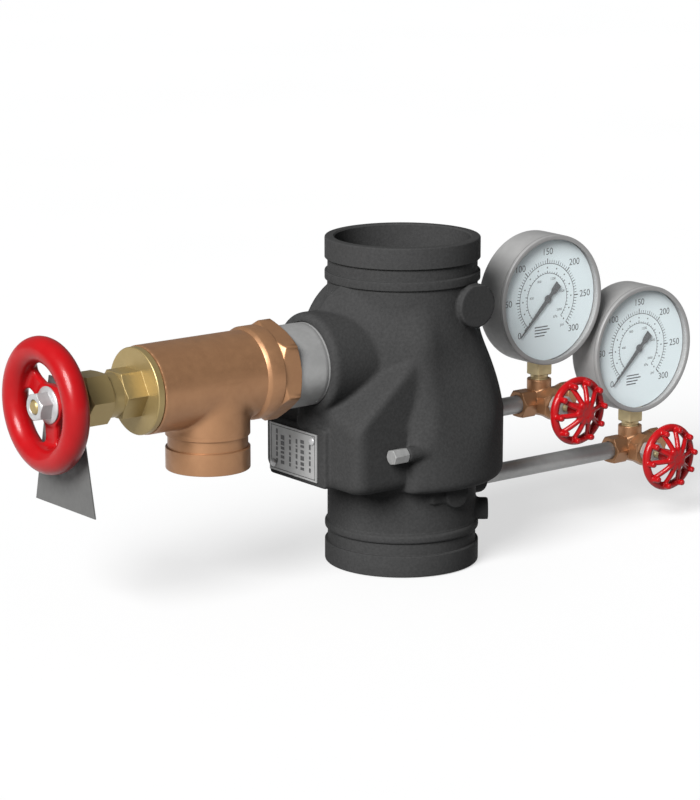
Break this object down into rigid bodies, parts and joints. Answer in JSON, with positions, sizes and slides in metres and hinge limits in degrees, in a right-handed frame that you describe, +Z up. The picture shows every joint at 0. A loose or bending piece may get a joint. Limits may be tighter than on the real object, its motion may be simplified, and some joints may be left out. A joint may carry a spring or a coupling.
{
  "type": "grooved-end riser check valve with drain valve and gauge trim",
  "caption": "Black iron grooved-end riser check valve for water piping, with a bronze angle drain valve, pressure gauges on bronze gauge valves and a swinging clapper inside.",
  "frame": {"origin": "centre of the inlet (lower) end face, on the riser axis", "axes": "+Z up the riser in the flow direction, -X towards the drain valve, +X towards the gauges, -Y the side the gauge dials face"},
  "size_m": [0.5998, 0.15, 0.244],
  "materials": {
    "body_black": "satin black coating over cast iron",
    "bronze": "cast bronze, lightly tumbled",
    "brass": "machined brass",
    "steel": "zinc plated and turned",
    "galvanized": "galvanized pipe",
    "wheel_red": "red enamel over cast iron",
    "gauge_grey": "grey metallic case",
    "plate_grey": "matt stamped plate",
    "rubber": "moulded",
    "dial_white": "matt printed face",
    "ink_black": "matt black",
    "window": "clear"
  },
  "bodies": {
    "riser": {"valve_body": "body_black", "name_plate": "plate_grey", "plate_rivet_1": "steel", "plate_rivet_2": "steel", "chamber_plug": "steel", "seat_ring": "bronze", "hinge_pin": "steel", "drain_nipple": "galvanized", "drain_valve_body": "bronze", "drain_bonnet": "brass", "drain_packing": "rubber", "drain_gland": "brass", "drain_packing_nut": "brass", "outlet_gauge_pipe": "galvanized", "outlet_gauge_valve_body": "bronze", "outlet_test_plug": "steel", "outlet_gauge_valve_bonnet": "bronze", "outlet_gauge_valve_nut": "steel", "outlet_gauge_socket": "brass", "outlet_gauge_case": "gauge_grey", "outlet_gauge_bezel": "gauge_grey", "outlet_gauge_window": "window", "outlet_gauge_dial": "dial_white", "outlet_bourdon_tube": "brass", "inlet_gauge_pipe": "galvanized", "inlet_gauge_valve_body": "bronze", "inlet_test_plug": "steel", "inlet_gauge_valve_bonnet": "bronze", "inlet_gauge_valve_nut": "steel", "inlet_gauge_socket": "brass", "inlet_gauge_case": "gauge_grey", "inlet_gauge_bezel": "gauge_grey", "inlet_gauge_window": "window", "inlet_gauge_dial": "dial_white", "inlet_bourdon_tube": "brass"},
    "clapper": {"clapper": "steel", "clapper_seal": "rubber", "seal_retainer": "steel", "retainer_bolt": "steel", "clapper_spring": "steel"},
    "drain_disc": {"drain_disc_holder": "brass", "drain_seat_washer": "rubber", "drain_washer_nut": "brass", "drain_swivel_nut": "brass"},
    "drain_wheel": {"drain_stem": "brass", "drain_handwheel": "wheel_red", "drain_wheel_nut": "steel"},
    "drain_tag": {"drain_tag": "plate_grey"},
    "outlet_valve_disc": {"outlet_gauge_valve_disc": "brass"},
    "outlet_valve_wheel": {"outlet_gauge_valve_stem": "brass", "outlet_gauge_valve_handwheel": "wheel_red"},
    "outlet_pointer": {"outlet_gauge_pointer": "ink_black"},
    "inlet_valve_disc": {"inlet_gauge_valve_disc": "brass"},
    "inlet_valve_wheel": {"inlet_gauge_valve_stem": "brass", "inlet_gauge_valve_handwheel": "wheel_red"},
    "inlet_pointer": {"inlet_gauge_pointer": "ink_black"}
  },
  "joints": [
    {"name": "clapper_hinge", "type": "hinge", "parent": "riser", "child": "clapper", "pos_m": [0.058, 0, 0.092], "axis": [0, 1, 0], "range_deg": [0, 60]},
    {"name": "drain_lift", "type": "slide", "parent": "riser", "child": "drain_disc", "axis": [-1, 0, 0], "range_m": [0, 0.014]},
    {"name": "drain_turn", "type": "hinge", "parent": "drain_disc", "child": "drain_wheel", "pos_m": [-0.24, 0, 0.1598], "axis": [-1, 0, 0], "range_deg": [0, 1260]},
    {"name": "drain_tag_swing", "type": "hinge", "parent": "drain_disc", "child": "drain_tag", "pos_m": [-0.296, 0, 0.1598], "axis": [-1, 0, 0], "continuous": true},
    {"name": "outlet_valve_lift", "type": "slide", "parent": "riser", "child": "outlet_valve_disc", "axis": [0, -1, 0], "range_m": [0, 0.003]},
    {"name": "outlet_valve_turn", "type": "hinge", "parent": "outlet_valve_disc", "child": "outlet_valve_wheel", "pos_m": [0.1345, -0.03, 0.1012], "axis": [0, -1, 0], "range_deg": [0, 720]},
    {"name": "outlet_pointer_turn", "type": "hinge", "parent": "riser", "child": "outlet_pointer", "pos_m": [0.1345, -0.012, 0.1816], "axis": [0, 1, 0], "range_deg": [0, 270]},
    {"name": "inlet_valve_lift", "type": "slide", "parent": "riser", "child": "inlet_valve_disc", "axis": [0, -1, 0], "range_m": [0, 0.003]},
    {"name": "inlet_valve_turn", "type": "hinge", "parent": "inlet_valve_disc", "child": "inlet_valve_wheel", "pos_m": [0.2302, -0.03, 0.0508], "axis": [0, -1, 0], "range_deg": [0, 720]},
    {"name": "inlet_pointer_turn", "type": "hinge", "parent": "riser", "child": "inlet_pointer", "pos_m": [0.2302, -0.012, 0.1312], "axis": [0, 1, 0], "range_deg": [0, 270]}
  ],
  "couplings": [
    {"joint": "drain_lift", "follows": "drain_turn", "m_per_rad": 0.00063662},
    {"joint": "outlet_valve_lift", "follows": "outlet_valve_turn", "m_per_rad": 0.00023873},
    {"joint": "inlet_valve_lift", "follows": "inlet_valve_turn", "m_per_rad": 0.00023873}
  ]
}
